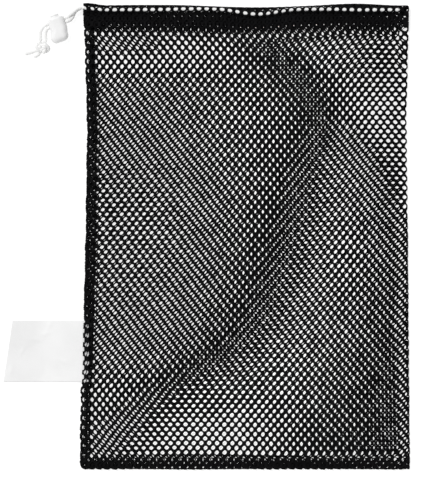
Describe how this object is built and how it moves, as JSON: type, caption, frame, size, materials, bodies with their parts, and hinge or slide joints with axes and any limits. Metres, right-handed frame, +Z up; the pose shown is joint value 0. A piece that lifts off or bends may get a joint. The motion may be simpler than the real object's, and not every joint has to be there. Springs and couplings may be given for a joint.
{
  "type": "mesh ball bag",
  "caption": "Flat rectangular net sack with a drawcord hem, a sprung cord lock, a knotted cord end and a blank cloth tag; it carries and stores balls.",
  "frame": {"origin": "middle of the bag and its tag as they lie, on the surface that they lie on", "axes": "+Y towards the bag's mouth, +Z up from the surface, +X from the side seam to the side fold"},
  "size_m": [0.4038, 0.461, 0.0162],
  "materials": {
    "net": "matte polyester net",
    "thread": "black polyester thread",
    "cord": "white braided polyester",
    "tag": "white woven satin",
    "lock_plastic": "white moulded plastic, satin",
    "spring_steel": "spring wire"
  },
  "bodies": {
    "bag": {"back_panel": "net", "front_panel": "net", "side_seam": "net", "bottom_seam": "net", "back_hem": "net", "front_hem": "net", "back_hem_end": "net", "front_hem_end": "net", "side_seam_thread": "thread", "bottom_seam_thread": "thread", "back_hem_stitches": "thread", "front_hem_stitches": "thread", "drawcord_run": "cord", "front_cord_end": "cord", "back_cord_end": "cord", "cord_knot": "cord", "long_cord_tail": "cord", "short_cord_tail": "cord"},
    "lock": {"lock_barrel": "lock_plastic", "lock_spring": "spring_steel"},
    "plunger": {"lock_plunger": "lock_plastic"},
    "tag": {"id_tag": "tag"}
  },
  "joints": [
    {"name": "tag_flip", "type": "hinge", "parent": "bag", "child": "tag", "pos_m": [-0.12315, -0.113, 0.0032], "axis": [0, 1, 0], "range_deg": [0, 125]},
    {"name": "lock_slide", "type": "slide", "parent": "bag", "child": "lock", "axis": [0.9397, 0.342, 0], "range_m": [-0.001, 0.0025]},
    {"name": "plunger_press", "type": "slide", "parent": "lock", "child": "plunger", "axis": [0.342, -0.9397, 0], "range_m": [0, 0.0018], "stiffness_N_per_m": 500, "springref_m": -0.004, "deforming": ["lock_spring"]}
  ]
}
